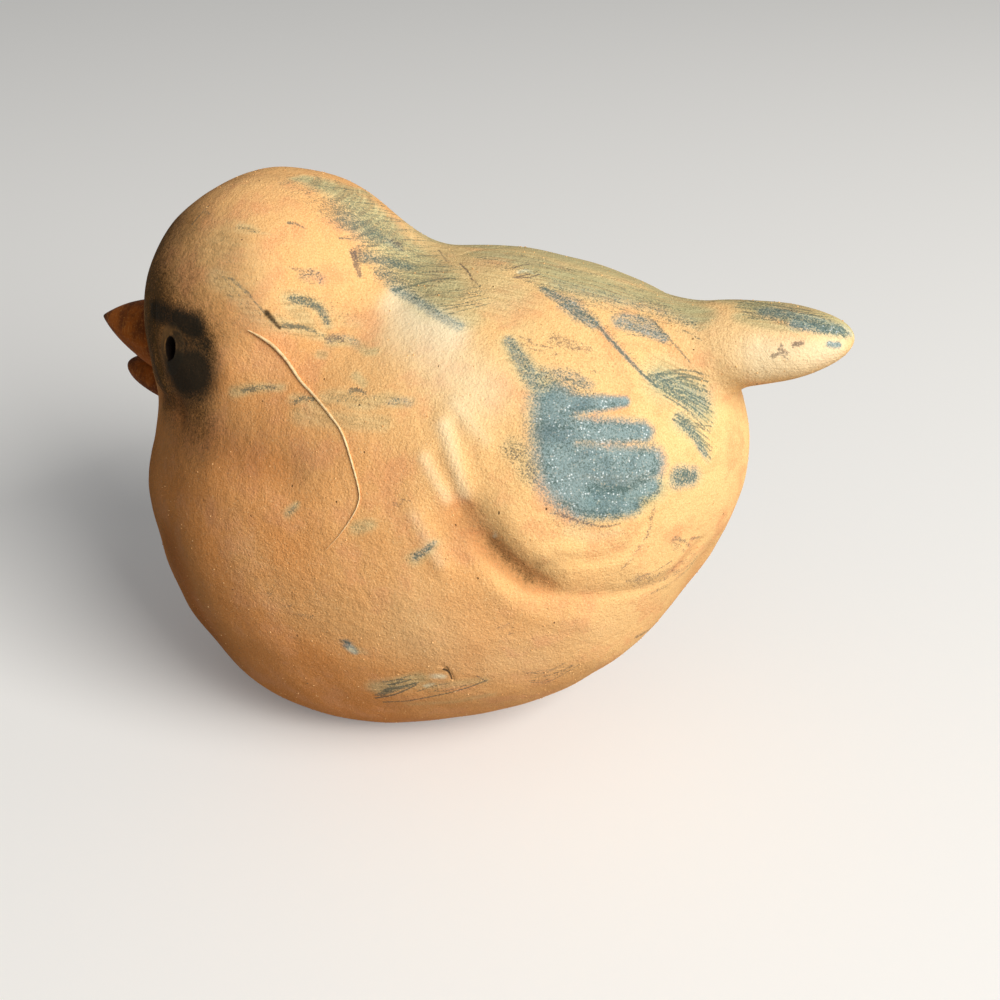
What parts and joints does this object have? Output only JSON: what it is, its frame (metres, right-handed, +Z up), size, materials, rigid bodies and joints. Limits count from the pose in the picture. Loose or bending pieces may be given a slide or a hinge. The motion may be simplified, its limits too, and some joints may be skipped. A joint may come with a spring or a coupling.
{
  "type": "terracotta bird figurine",
  "caption": "Hollow terracotta bird figurine: a plump round body with a small raised tail, low wings, pierced eyes and an open beak, on a flat base.",
  "frame": {"origin": "on the ground, under the middle of the box round the whole bird", "axes": "+Z up; the bird looks along -X with its beak, its tail points along +X, and its left side is -Y"},
  "size_m": [0.1182, 0.0706, 0.085],
  "materials": {
    "clay": "unglazed, sandy, with dry-brushed paint",
    "painted_beak": "matt brown paint",
    "dark_eye": "matt, pierced"
  },
  "bodies": {
    "root": {"body_left_half": "clay", "body_right_half": "clay", "seam_coil": "clay", "wing_left": "clay", "wing_right": "clay", "tail": "clay", "beak_upper": "painted_beak", "beak_lower": "painted_beak", "eye_left": "dark_eye", "eye_right": "dark_eye"}
  },
  "joints": []
}
